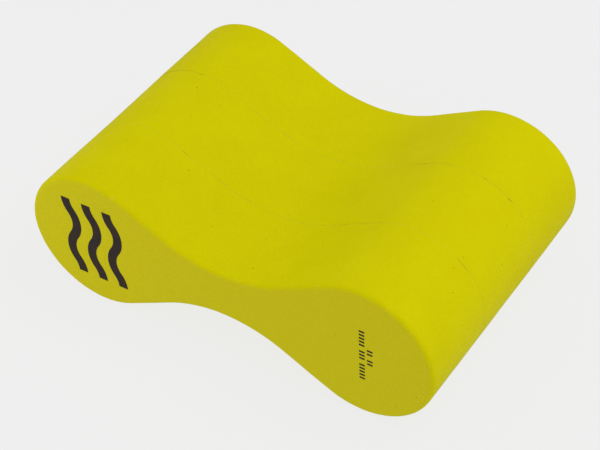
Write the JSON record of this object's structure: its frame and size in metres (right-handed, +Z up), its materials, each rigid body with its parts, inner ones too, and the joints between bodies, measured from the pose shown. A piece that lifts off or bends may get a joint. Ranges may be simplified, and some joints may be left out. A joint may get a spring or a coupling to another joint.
{
  "type": "pull buoy",
  "caption": "Swimmer's float: a laminated foam block with round lobes joined by a narrow waist, held between the thighs to lift the legs.",
  "frame": {"origin": "middle of the underside, on the surface that both lobes lie on", "axes": "+X along the long way, from the lobe with the wave print to the lobe with the lot print; +Y through the depth, away from the printed end; +Z up through the thickness"},
  "size_m": [0.24, 0.156, 0.081],
  "materials": {
    "foam": "fluorescent yellow closed-cell EVA foam, cut and buffed to a fine matt grain",
    "glue": "cured contact adhesive, a thin dull amber line",
    "ink": "heat-pressed dark brown print, dull"
  },
  "bodies": {
    "root": {"foam_slab_front": "foam", "foam_slab_middle": "foam", "foam_slab_rear": "foam", "glue_film_front": "glue", "glue_film_rear": "glue", "wave_print": "ink", "lot_print": "ink"}
  },
  "joints": []
}
